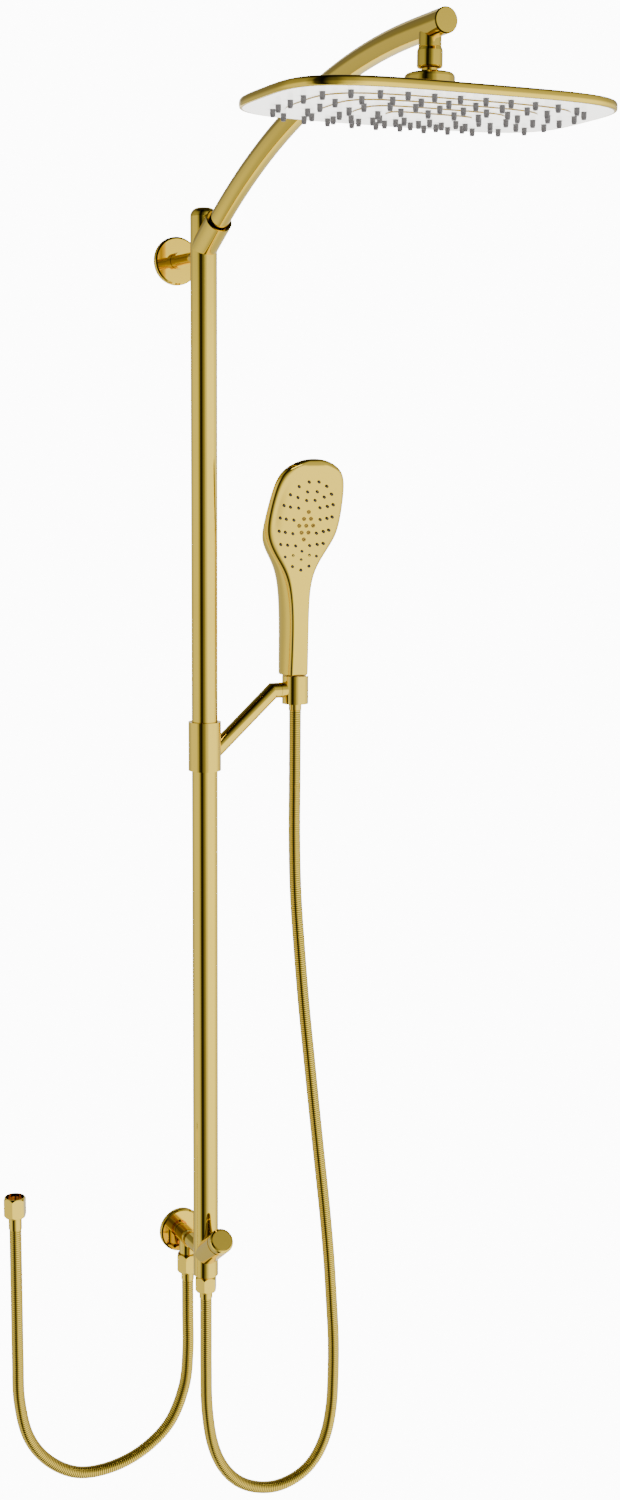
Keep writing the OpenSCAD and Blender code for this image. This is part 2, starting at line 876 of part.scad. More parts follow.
// The spring that returns the button
module selector_spring() {
  color(grey) on_back(button_v, back_depth - 12) {
    for (k = [0:2]) {
      translate([0, 0, 0.6 + 2.4 * k]) seal(4.2, 1);
    }
  }
}

// ---- Diverter ----

knob_rise = 36;
barrel_foot = -24;
branch_d = 27.6;
branch_len = 46;
knob_foot = 47.4;
knob_top = 57.6;

// A piece whose own +Z runs out along the diverter's branch from the rail's axis
module on_branch() {
  translate([0, -standoff, 0]) rotate([90 - knob_rise, 0, 0]) children();
}

module diverter_body() {
  color(gold) difference() {
    union() {
      translate([0, -standoff, barrel_foot]) cylinder(r = rail_r, h = rail_foot - barrel_foot);
      on_branch() cylinder(d = branch_d, h = branch_len);
    }
    translate([0, -standoff, barrel_foot - 1]) cylinder(r = 9.1, h = 30);
    translate([0, -standoff, 4]) cylinder(r = 10, h = 30);
    on_branch() translate([0, 0, 13]) cylinder(r = 10.5, h = 40);
    from_wall(standoff - 20, 0) cylinder(d = 11, h = 20);
  }
}

module diverter_cartridge() {
  color(white) on_branch() translate([0, 0, 13]) pipe(10.45, 4 + run, 27);
}

// The threaded ring that holds the cartridge down
module cartridge_ring() {
  color(brass) on_branch() translate([0, 0, 40]) pipe(10.45, 5.5, 5);
}

module diverter_spindle() {
  color(brass) on_branch() translate([0, 0, 16]) cylinder(r = 4, h = 35.6);
}

module diverter_knob() {
  r = branch_d / 2;
  color(gold) on_branch() difference() {
    rotate_extrude($fn = 96) polygon([
      [0, knob_foot], [r - 1, knob_foot], [r, knob_foot + 1], [r, knob_top - 3],
      [r - 0.8, knob_top - 1.2], [r - 2.4, knob_top], [0, knob_top]
    ]);
    translate([0, 0, knob_foot - 1]) cylinder(r = 4.03, h = 5.3);
    translate([0, 0, knob_foot]) cylinder(r = 2.05, h = 20);
    translate([0, 0, knob_top - 5]) cylinder(r = 11.1, h = 10);
  }
}

module knob_screw() {
  color(grey) on_branch() {
    translate([0, 0, 51.8]) cylinder(r = 2, h = 1);
    translate([0, 0, 52.65]) difference() {
      cylinder(r = 3.5, h = 1.8);
      translate([0, 0, 0.8]) cylinder(r = 1.2, h = 2, $fn = 6);
    }
  }
}

// The plain cap that covers the knob's screw
module knob_cap() {
  color(gold) on_branch() translate([0, 0, knob_top - 2.8]) {
    rotate_extrude($fn = 96) polygon([[0, 0], [11, 0], [11, 2.5], [10.7, 2.8], [0, 2.8]]);
  }
}

// The threaded outlet below the diverter
module diverter_outlet() {
  color(brass) translate([0, -standoff, barrel_foot - 12]) pipe(9, 6, 20);
}

// ---- Hoses ----

// Centreline of the hand shower's hose, as x and z from its lower end
handset_route = [
  [0, -52], [0, -95], [0, -140], [1, -185], [7, -228], [19, -260], [38, -284], [62, -298],
  [90, -303], [118, -296], [139, -279], [153, -252], [160, -218], [162, -180], [162, -135],
  [159, -85], [155, -30], [149, 30], [142, 90], [135, 150], [128, 212], [121, 275],
  [115, 340], [110, 405], [108, 470], [108, 540], [108, 612.7]
];
// Centreline of the supply hose, as x and z from the inlet
inlet_route = [
  [0, -52], [0, -95], [0, -140], [-5, -184], [-24, -226], [-58, -253], [-98, -265],
  [-138, -262], [-172, -240], [-195, -206], [-205, -160], [-206, -110], [-206, -60],
  [-206, -10], [-206, 44]
];
free_x = inlet_route[14][0];

// A smooth curve through the route's points, with one point more between each two
function between(p, i) =
  let (n = len(p) - 1, a = p[max(i - 1, 0)], d = p[min(i + 2, n)])
  (9 * (p[i] + p[i + 1]) - a - d) / 16;
function smooth(p) = concat(
  [for (i = [0:len(p) - 2]) each [p[i], between(p, i)]], [p[len(p) - 1]]
);
function heading(p, i) = let (d = p[min(i + 1, len(p) - 1)] - p[max(i - 1, 0)]) d / norm(d);
hose_sides = 12;

// A round hose in the plane at wall distance s
module hose(route, s) {
  path = smooth(route);
  skin([
    for (i = [0:len(path) - 1]) let (h = heading(path, i)) [
      for (k = [0:hose_sides - 1]) let (a = 360 * k / hose_sides, r = hose_d / 2) [
        path[i][0] + h[1] * r * cos(a), r * sin(a) - s, path[i][1] - h[0] * r * cos(a)
      ]
    ]
  ]);
}

nut_flats = 22.4;
lip_r = 7.5;
ferrule_r = 7.4;

module handset_hose() {
  color(gold) hose(handset_route, standoff);
}

// A union nut with a thin lip at its foot, from z = 0 to h
module union_nut(h) {
  difference() {
    hex_nut(nut_flats, h, lip_r);
    translate([0, 0, 3]) cylinder(r = 9.1, h = h);
  }
}

// The crimped end of a hose, whose flange sits d above its foot
module ferrule(h, d) {
  difference() {
    union() {
      cylinder(r = ferrule_r, h = h);
      translate([0, 0, d]) cylinder(r = 8.9, h = h - d);
    }
    translate([0, 0, -1]) cylinder(r = 5, h = h + 2);
  }
}

// The nut that joins the hose to the diverter
module hose_hex_nut() {
  color(gold) translate([0, -standoff, -44]) union_nut(18);
}

// The plain crimped end of the hose in its nut
module hose_ferrule() {
  color(gold) translate([0, -standoff, -52]) ferrule(13.5, 11.1);
}

// The crimped end that the hand shower turns on
module hose_swivel_end() {
  color(gold) on_holder() difference() {
    union() {
      translate([0, 0, 613]) cylinder(r = 7, h = ring_foot + 15.8 - 613);
      translate([0, 0, ring_foot + 12.3]) cylinder(r = 9.4, h = 3.5);
    }
    translate([0, 0, 612]) cylinder(r = 5, h = 30);
  }
}

// The conical nut that seats in the holder
module hose_cone_nut() {
  slope = (nut_top_r - nut_low_r) / (ring_top - ring_foot);
  color(gold) on_holder() difference() {
    translate([0, 0, ring_foot + 4]) {
      cylinder(r1 = nut_low_r + 4 * slope, r2 = nut_top_r, h = ring_top - ring_foot - 4);
    }
    translate([0, 0, ring_foot]) cylinder(r = 7 + run, h = 40);
    translate([0, 0, ring_foot + 12]) cylinder(r = 10.4, h = 40);
  }
}

module handset_washer() {
  color(black) on_holder() translate([0, 0, ring_foot + 16.1]) pipe(9.4, 6, 2.4);
}

// Rubber washers in the two union nuts below the lower flange
module hose_washers() {
  color(black) {
    translate([0, -standoff, -38.4]) pipe(8.9, 6, 2.3);
    translate([0, -inlet_y, -36.9]) pipe(8.9, 6, 2.3);
  }
}

module inlet_hose() {
  color(gold) hose(inlet_route, inlet_y);
}

module inlet_hose_nut() {
  color(gold) translate([0, -inlet_y, -42.5]) union_nut(22);
}

// The crimped ends of the supply hose, one in each nut
module inlet_ferrules() {
  color(gold) {
    translate([0, -inlet_y, -52]) ferrule(15, 12.6);
    translate([free_x, -inlet_y, 44]) ferrule(23, 20);
  }
}

free_foot = 58;
free_h = 23;
thread_r = 10.3;

// The loose nut that takes the house's water supply
module inlet_free_nut() {
  color(gold) translate([free_x, -inlet_y, free_foot]) difference() {
    hex_nut(nut_flats, free_h, ferrule_r + run);
    translate([0, 0, 5.6]) cylinder(r = 9.2, h = 30);
    translate([0, 0, 9.5]) cylinder(r = thread_r, h = 30);
  }
}

upper_wall_plate();
upper_flange();
upper_standoff();
lower_wall_plate();
lower_flange();
inlet_elbow();
standoff_grub_screws();
rail_tube();
rail_top_cap();
arm_socket();
socket_grub_screw();
shower_arm();
arm_o_rings();
arm_tee();
arm_end_cap();
ball_nut();
filter_washer();
ball_upper_seat();
ball_lower_seal();
ball_collar();
ball_cup();
head_top_shell();
head_spray_plate();
head_nozzle_mat();
slider_bush();
bush_o_rings();
slider_sleeve();
sleeve_end_ring();
slider_arm();
tilt_washer();
tilt_pin();
holder_ring();
holder_liner();
handset_back_shell();
handset_face_plate();
handset_nozzles();
handset_centre_nozzles();
handset_waterway();
handset_inlet();
selector_button();
selector_spring();
diverter_body();
diverter_cartridge();
cartridge_ring();
diverter_spindle();
diverter_knob();
knob_screw();
knob_cap();
diverter_outlet();
handset_hose();
hose_hex_nut();
hose_ferrule();
hose_swivel_end();
hose_cone_nut();
handset_washer();
hose_washers();
inlet_hose();
inlet_hose_nut();
inlet_ferrules();
inlet_free_nut();
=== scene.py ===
from bisect import bisect
from math import atan2, cos, pi, radians, sin, sqrt

import bmesh
import bpy
from mathutils import Matrix, Vector


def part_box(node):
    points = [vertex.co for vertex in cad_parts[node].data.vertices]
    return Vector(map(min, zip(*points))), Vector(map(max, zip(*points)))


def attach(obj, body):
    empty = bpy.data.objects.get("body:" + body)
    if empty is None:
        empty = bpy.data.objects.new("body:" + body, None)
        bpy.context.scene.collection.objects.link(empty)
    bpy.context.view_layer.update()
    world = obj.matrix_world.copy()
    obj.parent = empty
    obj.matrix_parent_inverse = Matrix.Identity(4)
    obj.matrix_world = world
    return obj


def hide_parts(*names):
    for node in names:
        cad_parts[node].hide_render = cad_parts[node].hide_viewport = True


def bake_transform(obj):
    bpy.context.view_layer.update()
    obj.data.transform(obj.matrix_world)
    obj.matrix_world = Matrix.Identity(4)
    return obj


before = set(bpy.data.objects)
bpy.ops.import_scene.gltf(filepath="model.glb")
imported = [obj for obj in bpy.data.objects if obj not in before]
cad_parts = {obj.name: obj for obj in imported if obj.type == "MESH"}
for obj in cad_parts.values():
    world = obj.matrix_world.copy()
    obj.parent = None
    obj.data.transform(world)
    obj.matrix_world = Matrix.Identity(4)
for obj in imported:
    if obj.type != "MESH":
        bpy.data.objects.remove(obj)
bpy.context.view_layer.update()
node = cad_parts

# ---- Camera ----
# The eye stands low and to the left of the rail, looking slightly down it, with the
# picture shifted sideways so that the arm and both hoses fit.
eye_at = Vector((-0.811, -1.986, 0.909))
eye_turn = -23.8
eye_dip = 9.15
eye = bpy.data.cameras.new("eye")
eye.sensor_width = 36
eye.lens = 46.66
eye.shift_x = 0.0527
eye_object = bpy.data.objects.new("eye", eye)
bpy.context.scene.collection.objects.link(eye_object)
eye_object.location = eye_at
eye_object.rotation_euler = (radians(90 - eye_dip), 0, radians(eye_turn))
bpy.context.scene.camera = eye_object

# ---- Gold plating ----
# Every metal part is brass under one thin gold-coloured plating: a mirror with the
# faintest unevenness in its colour and polish, and fine wiping marks.
plating = bpy.data.node_groups.new("gold_plating", "ShaderNodeTree")
face = plating.interface
face.new_socket("Light tone", in_out="INPUT", socket_type="NodeSocketColor")
face.new_socket("Deep tone", in_out="INPUT", socket_type="NodeSocketColor")
face.new_socket("Polish", in_out="INPUT", socket_type="NodeSocketFloat")
face.new_socket("Color", in_out="OUTPUT", socket_type="NodeSocketColor")
face.new_socket("Roughness", in_out="OUTPUT", socket_type="NodeSocketFloat")
given = plating.nodes.new("NodeGroupInput")
out = plating.nodes.new("NodeGroupOutput")
place = plating.nodes.new("ShaderNodeTexCoord")
cloud = plating.nodes.new("ShaderNodeTexNoise")
cloud.inputs["Scale"].default_value = 9
cloud.inputs["Detail"].default_value = 3
wipe = plating.nodes.new("ShaderNodeTexNoise")
wipe.inputs["Scale"].default_value = 160
wipe.inputs["Detail"].default_value = 4
tone = plating.nodes.new("ShaderNodeMix")
tone.data_type = "RGBA"
smear = plating.nodes.new("ShaderNodeMath")
smear.operation = "MULTIPLY_ADD"
smear.inputs[1].default_value = 0.03
plating.links.new(place.outputs["Object"], cloud.inputs["Vector"])
plating.links.new(place.outputs["Object"], wipe.inputs["Vector"])
plating.links.new(cloud.outputs["Fac"], tone.inputs["Factor"])
plating.links.new(given.outputs["Light tone"], tone.inputs[6])
plating.links.new(given.outputs["Deep tone"], tone.inputs[7])
plating.links.new(wipe.outputs["Fac"], smear.inputs[0])
plating.links.new(given.outputs["Polish"], smear.inputs[2])
plating.links.new(tone.outputs[2], out.inputs["Color"])
plating.links.new(smear.outputs[0], out.inputs["Roughness"])


def gold_finish(name, light_tone, deep_tone, polish):
    m = bpy.data.materials.new(name)
    m.use_nodes = True
    shader = m.node_tree.nodes["Principled BSDF"]
    shader.inputs["Metallic"].default_value = 1
    coat = m.node_tree.nodes.new("ShaderNodeGroup")
    coat.node_tree = plating
    coat.inputs["Light tone"].default_value = (*light_tone, 1)
    coat.inputs["Deep tone"].default_value = (*deep_tone, 1)
    coat.inputs["Polish"].default_value = polish
    m.node_tree.links.new(coat.outputs["Color"], shader.inputs["Base Color"])
    m.node_tree.links.new(coat.outputs["Roughness"], shader.inputs["Roughness"])
    return m


def wear(material, *names):
    for name in names:
        mesh = node[name].data
        mesh.materials.clear()
        mesh.materials.append(material)


gold = gold_finish("mirror_gold", (0.90, 0.66, 0.085), (0.85, 0.60, 0.065), 0.045)

# ---- Hoses ----
# Each hose is a rubber tube inside a close-wound gold strip, so narrow grooves ring it all
# along. Its wall is spun straight, with the grooves in it, and then bent along its line.
# The grooves are darkened with painted shade in the base colour.
hose_d = 0.0135
rib_pitch = 0.0024
groove_depth = 0.0008
hose_gold = gold_finish("ribbed_gold", (0.88, 0.64, 0.085), (0.80, 0.57, 0.065), 0.08)
tree = hose_gold.node_tree
coat = next(n for n in tree.nodes if n.type == "GROUP")
# Painted shade: a near-black colour mixed in at each groove's bottom, fading out towards the
# crowns.
groove_shade = tree.nodes.new("ShaderNodeAttribute")
groove_shade.attribute_name = "groove_shade"
shadow = tree.nodes.new("ShaderNodeMix")
shadow.data_type = "RGBA"
shadow.inputs[7].default_value = (0.03, 0.02, 0.004, 1)
tree.links.new(groove_shade.outputs["Fac"], shadow.inputs["Factor"])
tree.links.new(coat.outputs["Color"], shadow.inputs[6])
tree.links.new(shadow.outputs[2], tree.nodes["Principled BSDF"].inputs["Base Color"])


def hose_line(points, wall_distance):
    """The points as a smooth line in the plane at that distance from the wall."""
    p = [Vector((x / 1000, -wall_distance, z / 1000)) for x, z in points]
    line = []
    for i in range(len(p) - 1):
        a, b, c, d = p[max(i - 1, 0)], p[i], p[i + 1], p[min(i + 2, len(p) - 1)]
        steps = max(2, round((c - b).length / 0.004))
        for k in range(steps):
            t = k / steps
            line.append(
                (
                    2 * b
                    + (c - a) * t
                    + (2 * a - 5 * b + 4 * c - d) * t**2
                    + (3 * b - a - 3 * c + d) * t**3
                )
                / 2
            )
    return line + [p[-1]]


def line_length(line):
    return sum((b - a).length for a, b in zip(line, line[1:]))


def bend_along(verts, line):
    """Moves each point from beside the Z axis to beside the line, as far along it."""
    reach = [0.0]
    for a, b in zip(line, line[1:]):
        reach.append(reach[-1] + (b - a).length)
    heading = [
        (line[min(i + 1, len(line) - 1)] - line[max(i - 1, 0)]).normalized()
        for i in range(len(line))
    ]
    for v in verts:
        gone = min(max(v.co.z, 0), reach[-1])
        i = min(max(bisect(reach, gone) - 1, 0), len(line) - 2)
        t = (gone - reach[i]) / (reach[i + 1] - reach[i])
        ahead = heading[i].lerp(heading[i + 1], t).normalized()
        aside = Vector((ahead.z, 0, -ahead.x))
        v.co = line[i].lerp(line[i + 1], t) + aside * v.co.x + Vector((0, v.co.y, 0))


def hose_tube(name, line):
    length = line_length(line)
    ribs = round(length / rib_pitch)
    work = bmesh.new()
    # Each point keeps how deep in a groove it sits, which sets how much painted groove shade it
    # gets.
    depth = work.verts.layers.float.new("groove_shade")
    profile = []
    for k in range(ribs):
        for share, sunk in ((0, 1), (0.24, 0), (0.76, 0)):
            at = (hose_d / 2 - groove_depth * sunk, 0, length * (k + share) / ribs)
            profile.append(work.verts.new(at))
            profile[-1][depth] = sunk
    profile.append(work.verts.new((hose_d / 2 - groove_depth, 0, length)))
    edges = [work.edges.new(pair) for pair in zip(profile, profile[1:])]
    bmesh.ops.spin(
        work, geom=profile + edges, cent=(0, 0, 0), axis=(0, 0, 1), dvec=(0, 0, 0),
        angle=2 * pi, steps=20, use_merge=True,
    )
    bend_along(work.verts, line)
    bmesh.ops.recalc_face_normals(work, faces=work.faces)
    for f in work.faces:
        f.smooth = True
    mesh = bpy.data.meshes.new(name)
    work.to_mesh(mesh)
    work.free()
    hose = bpy.data.objects.new(name, mesh)
    bpy.context.scene.collection.objects.link(hose)
    mesh.materials.append(hose_gold)
    return hose


# The hand shower's hose leaves the diverter's nut, hangs in a loop beside the rail and
# rises to the holder. Only the loop goes with the column; the rising length is cut into
# pieces at set heights, which stay where they are drawn.
rail_y = 0.077
hand_route = [
    (0, -52), (0, -95), (0, -140), (1, -185), (7, -228), (19, -260), (38, -284), (62, -298),
    (90, -303), (118, -296), (139, -279), (153, -252), (160, -218), (162, -180), (162, -135),
    (159, -85), (155, -30), (149, 30), (142, 90), (135, 150), (128, 212), (121, 275),
    (115, 340), (110, 405), (108, 470), (108, 540), (108, 613),
]
hand_line = hose_line(hand_route, rail_y)
low_half = next(i for i, p in enumerate(hand_line) if p.x > 0.159 and p.z > -0.22)
splits = [0, low_half]
for height in (0.355, 0.441, 0.527):
    splits.append(next(i for i, p in enumerate(hand_line) if i > low_half and p.z > height))
splits.append(len(hand_line) - 1)
spans = [
    ("hand_hose_loop", "column", None),
    ("hand_hose_rise", "column", "slide_bush"),
    ("hand_hose_swing", "slide_bush", "slider"),
    ("hand_hose_tilt", "slider", "holder"),
    ("hand_hose_top", "holder", "hose_end"),
]
for (name, lower, upper), first, last in zip(spans, splits, splits[1:]):
    line = hand_line[first : last + 1]
    hose = hose_tube(name, line)
    if upper:
        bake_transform(hose)
    else:
        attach(hose, lower)
        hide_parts("handset_hose")

# The supply hose hangs from the inlet in a loop, and its loose nut waits for the wall's
# water outlet.
inlet_y = 0.023
supply_route = [
    (0, -52), (0, -95), (0, -140), (-5, -184), (-24, -226), (-58, -253), (-98, -265),
    (-138, -262), (-172, -240), (-195, -206), (-205, -160), (-206, -110), (-206, -60),
    (-206, -10), (-206, 44),
]
line = hose_line(supply_route, inlet_y)
hose = hose_tube("supply_hose", line)
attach(hose, "column")
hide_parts("inlet_hose")

# ---- Plated pieces ----
# All that shows of the column apart from the flanges, the spray faces and the hoses.
wear(
    gold, "upper_standoff", "inlet_elbow", "rail_tube", "rail_top_cap", "arm_socket",
    "shower_arm", "arm_tee", "arm_end_cap", "ball_nut", "ball_collar",
    "slider_sleeve", "sleeve_end_ring", "slider_arm", "holder_ring", "hose_cone_nut",
    "hose_swivel_end", "hose_hex_nut", "hose_ferrule", "inlet_hose_nut", "inlet_ferrules",
    "inlet_free_nut", "diverter_body", "diverter_knob", "knob_cap", "handset_back_shell",
    "handset_face_plate", "selector_button",
)

# ---- Hand shower ----
# A plated plastic shell in one flowing shape: a slim handle with a flat front, which
# widens into the tilted spray face. It is drawn through sections from foot to crown.
hand_axis = Vector((0.108, -rail_y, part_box("handset_back_shell")[0].z))
face_tilt = radians(21.5)
face_middle = Vector((0, -0.0255, 0.1637))
face_out = Vector((0, -cos(face_tilt), -sin(face_tilt)))
face_up = Vector((0, -sin(face_tilt), cos(face_tilt)))
# Handle: height and depth of the front, lean, half width, depth to widest, whole depth,
# half width of the flat front
grip = [
    (0, -9.8, 0, 13.6, 17, 34, 6.6), (0.6, -10.6, 0, 14.4, 18.2, 36.4, 6.9),
    (2.5, -11, 0, 14.6, 18.5, 37, 7.2), (30, -12.6, 0, 14.2, 20, 40, 7.0),
    (61, -13.9, 0, 14, 21, 42, 7.2), (84, -13.2, 3, 15.2, 20.5, 41, 8.0),
    (100, -12.7, 8, 18, 20, 40, 9.4), (113, -12.4, 13.5, 23, 19.2, 38.8, 12),
    (124, -12.6, 18, 30.5, 18.2, 37, 16.5),
]
# Head: height up the face, front set back, then the same four sizes
spread = [
    (-30, 0, 38.5, 16.5, 34, 24), (-18, 0, 43.2, 14, 31, 31.5), (-5, 0, 44.5, 11.6, 28.5, 35.5),
    (10, 0, 44.2, 10.6, 26.5, 36.6), (28, 0, 43, 10, 24.5, 35.6), (44, 0, 41, 9.6, 22, 32.5),
    (55, 0.4, 37.3, 9, 19.4, 27.5), (62, 1.2, 31.5, 8, 16.6, 20), (67.5, 3, 23.5, 6.2, 12.6, 12),
    (71, 5.4, 14.5, 3.8, 7.8, 6), (72.6, 7.6, 6, 1.6, 3.4, 2),
]
around = 64


def set_section(verts, wide, belly, deep, flat, crown):
    """Moves a circle's points onto a section: crowned front, rounded side, round back."""
    for v in verts:
        turn = atan2(v.co.y, v.co.x)
        side, rear = cos(turn), sin(turn)
        if rear >= 0:
            v.co = (wide * side, belly + (deep - belly) * rear, 0)
            continue
        across = abs(side) ** 0.8 * (1 if side > 0 else -1)
        x = wide * across
        dip = crown * min(abs(x), flat) ** 2
        past = max(abs(x) - flat, 0) / (wide - flat)
        fall = (belly - dip) * (1 - sqrt(max(1 - past**2.2, 0)))
        v.co = (x, dip + fall, 0)


def hand_frame(k):
    """Where section k stands: its front point and the way its plane leans."""
    if k < len(grip):
        z, y, lean = grip[k][:3]
        return Vector((0, y, z)) / 1000, radians(lean)
    up, back = (v / 1000 for v in spread[k - len(grip)][:2])
    return face_middle + face_up * up - face_out * back, face_tilt


work = bmesh.new()
rings = []
for k in range(len(grip) + len(spread)):
    sizes = grip[k][3:] if k < len(grip) else spread[k - len(grip)][2:]
    wide, belly, deep, flat = (v / 1000 for v in sizes)
    made = bmesh.ops.create_circle(work, segments=around, radius=1)["verts"]
    set_section(made, wide, belly, deep, flat, 3.6)
    front, lean = hand_frame(k)
    at = Matrix.Translation(hand_axis + front) @ Matrix.Rotation(lean, 4, "X")
    bmesh.ops.transform(work, matrix=at, verts=made)
    rings.append({e for v in made for e in v.link_edges})
for low, high in zip(rings, rings[1:]):
    bmesh.ops.bridge_loops(work, edges=list(low | high))
for end in (rings[0], rings[-1]):
    bmesh.ops.contextual_create(work, geom=list(end))
bmesh.ops.recalc_face_normals(work, faces=work.faces)
for f in work.faces:
    f.smooth = True
mesh = bpy.data.meshes.new("hand_shell")
work.to_mesh(mesh)
work.free()
mesh.materials.append(gold)
hand_shell = bpy.data.objects.new("hand_shell", mesh)
bpy.context.scene.collection.objects.link(hand_shell)
round_off = hand_shell.modifiers.new("round_off", "SUBSURF")
round_off.levels = 2
round_off.render_levels = 2
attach(hand_shell, "handset")
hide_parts("handset_back_shell", "handset_face_plate")

# ---- Overhead shower's shell ----
# One thin pressed and plated shell: a soft-cornered outline, a rounded rim and a low
# crown with a round hole for the ball joint. It is drawn ring by ring round its wall.
head_low, head_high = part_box("head_top_shell")
head_middle = (head_low + head_high) / 2
head_half = (head_high - head_low) / 2
ball_hole_r = 0.0141
shell_wall = 0.0016
# How far in from the edge, and how high above the rim's foot, in millimetres
crown = [
    (2.2, 0), (1.1, 0), (0.35, 0.6), (0.03, 1.9), (0, 4.4), (0.3, 6.1), (1.0, 7.2),
    (2.2, 7.85), (5, 8.35), (14, 9.4), (27, 10.7), (40, 11.8), (62, 13),
]
corner_power = 4
head_around = 144
work = bmesh.new()
loops = []
outside = [(inset / 1000, rise / 1000) for inset, rise in crown]
inside = [(inset + 0.0022, rise - shell_wall) for inset, rise in outside[7:]][::-1]
for inset, rise in outside + [(None, 0.013), (None, 0.013 - shell_wall)] + inside:
    ring = bmesh.ops.create_circle(work, segments=head_around, radius=1)["verts"]
    for v in ring:
        side, depth = v.co.x, v.co.y
        if inset is None:
            v.co = (ball_hole_r * side, ball_hole_r * depth, rise)
            continue
        swell = (abs(side) ** corner_power + abs(depth) ** corner_power) ** (-1 / corner_power)
        v.co = (
            (head_half.x - inset) * side * swell, (head_half.y - inset) * depth * swell, rise,
        )
    loops.append({e for v in ring for e in v.link_edges})
for ring, after in zip(loops, loops[1:] + loops[:1]):
    bmesh.ops.bridge_loops(work, edges=list(ring | after))
bmesh.ops.translate(work, vec=(head_middle.x, head_middle.y, head_low.z), verts=work.verts)
bmesh.ops.recalc_face_normals(work, faces=work.faces)
for f in work.faces:
    f.smooth = True
mesh = bpy.data.meshes.new("rain_shell")
work.to_mesh(mesh)
work.free()
mesh.materials.append(gold)
rain_shell = bpy.data.objects.new("rain_shell", mesh)
bpy.context.scene.collection.objects.link(rain_shell)
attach(rain_shell, "rain_head")
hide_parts("head_top_shell")

# ---- Spray nozzles ----
# Rubber jets that a thumb can clean: black ones in three shield-shaped rings on the hand
# shower, and grey silicone ones, moulded on one mat, all over the overhead shower.
grain = bpy.data.node_groups.new("moulded_grain", "ShaderNodeTree")
face = grain.interface
face.new_socket("Light tone", in_out="INPUT", socket_type="NodeSocketColor")
face.new_socket("Deep tone", in_out="INPUT", socket_type="NodeSocketColor")
face.new_socket("Scale", in_out="INPUT", socket_type="NodeSocketFloat")
face.new_socket("Color", in_out="OUTPUT", socket_type="NodeSocketColor")
face.new_socket("Height", in_out="OUTPUT", socket_type="NodeSocketFloat")
given = grain.nodes.new("NodeGroupInput")
out = grain.nodes.new("NodeGroupOutput")
place = grain.nodes.new("ShaderNodeTexCoord")
speck = grain.nodes.new("ShaderNodeTexNoise")
speck.inputs["Detail"].default_value = 4
tone = grain.nodes.new("ShaderNodeMix")
tone.data_type = "RGBA"
grain.links.new(place.outputs["Object"], speck.inputs["Vector"])
grain.links.new(given.outputs["Scale"], speck.inputs["Scale"])
grain.links.new(speck.outputs["Fac"], tone.inputs["Factor"])
grain.links.new(given.outputs["Light tone"], tone.inputs[6])
grain.links.new(given.outputs["Deep tone"], tone.inputs[7])
grain.links.new(tone.outputs[2], out.inputs["Color"])
grain.links.new(speck.outputs["Fac"], out.inputs["Height"])


def moulded(name, light_tone, deep_tone, roughness, scale, metallic=0.0, relief=0.00003):
    m = bpy.data.materials.new(name)
    m.use_nodes = True
    shader = m.node_tree.nodes["Principled BSDF"]
    shader.inputs["Roughness"].default_value = roughness
    shader.inputs["Metallic"].default_value = metallic
    skin = m.node_tree.nodes.new("ShaderNodeGroup")
    skin.node_tree = grain
    skin.inputs["Light tone"].default_value = (*light_tone, 1)
    skin.inputs["Deep tone"].default_value = (*deep_tone, 1)
    skin.inputs["Scale"].default_value = scale
    bump = m.node_tree.nodes.new("ShaderNodeBump")
    bump.inputs["Strength"].default_value = 0.4
    bump.inputs["Distance"].default_value = relief
    m.node_tree.links.new(skin.outputs["Color"], shader.inputs["Base Color"])
    m.node_tree.links.new(skin.outputs["Height"], bump.inputs["Height"])
    m.node_tree.links.new(bump.outputs["Normal"], shader.inputs["Normal"])
    return m


rubber = moulded("black_rubber", (0.006, 0.006, 0.006), (0.014, 0.013, 0.012), 0.45, 900)
silicone = moulded("grey_silicone", (0.050, 0.046, 0.046), (0.030, 0.028, 0.029), 0.5, 500)
jet_gold = gold_finish("centre_jet_gold", (0.30, 0.19, 0.04), (0.22, 0.14, 0.025), 0.2)

# The hand shower's jets: how many in each ring and how far the ring reaches up the face
jet_rings = [(19, 0.051), (15, 0.040), (11, 0.0305)]
jet_foot_r = 0.0018
jet_tip_r = 0.0014
jet_height = 0.0026
work = bmesh.new()
for count, reach in jet_rings:
    for j in range(count):
        turn = pi + 2 * pi * j / count
        bow = turn - radians(10) * sin(turn) * (1 - cos(turn)) / 2
        wide = reach * (0.6 if reach > 0.035 else 0.51)
        u = wide * sin(bow) * (1 + 0.15 * cos(bow))
        v = reach * cos(bow) * (0.97 if cos(bow) < 0 else 1)
        dip = 0.011 * (1 - sqrt(1 - (u / 0.0444) ** 2))
        rise = 0.00007 * max(-31 - v * 1000, 0) ** 1.5
        foot = hand_axis + face_middle + Vector((u, 0, 0)) + face_up * v + face_out * (rise - dip)
        stand = face_out.to_track_quat("Z", "Y").to_matrix().to_4x4()
        bmesh.ops.create_cone(
            work, cap_ends=True, segments=20, radius1=jet_foot_r, radius2=jet_tip_r,
            depth=jet_height, matrix=Matrix.Translation(foot) @ stand,
        )
tips = [f for f in work.faces if f.normal.dot(face_out) > 0.9]
bmesh.ops.inset_individual(work, faces=tips, thickness=0.0005, depth=-0.0007)
for f in work.faces:
    f.smooth = False
mesh = bpy.data.meshes.new("hand_jets")
work.to_mesh(mesh)
work.free()
mesh.materials.append(rubber)
hand_jets = bpy.data.objects.new("hand_jets", mesh)
bpy.context.scene.collection.objects.link(hand_jets)
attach(hand_jets, "handset")
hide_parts("handset_nozzles")

wear(silicone, "head_nozzle_mat")
wear(jet_gold, "handset_centre_nozzles")

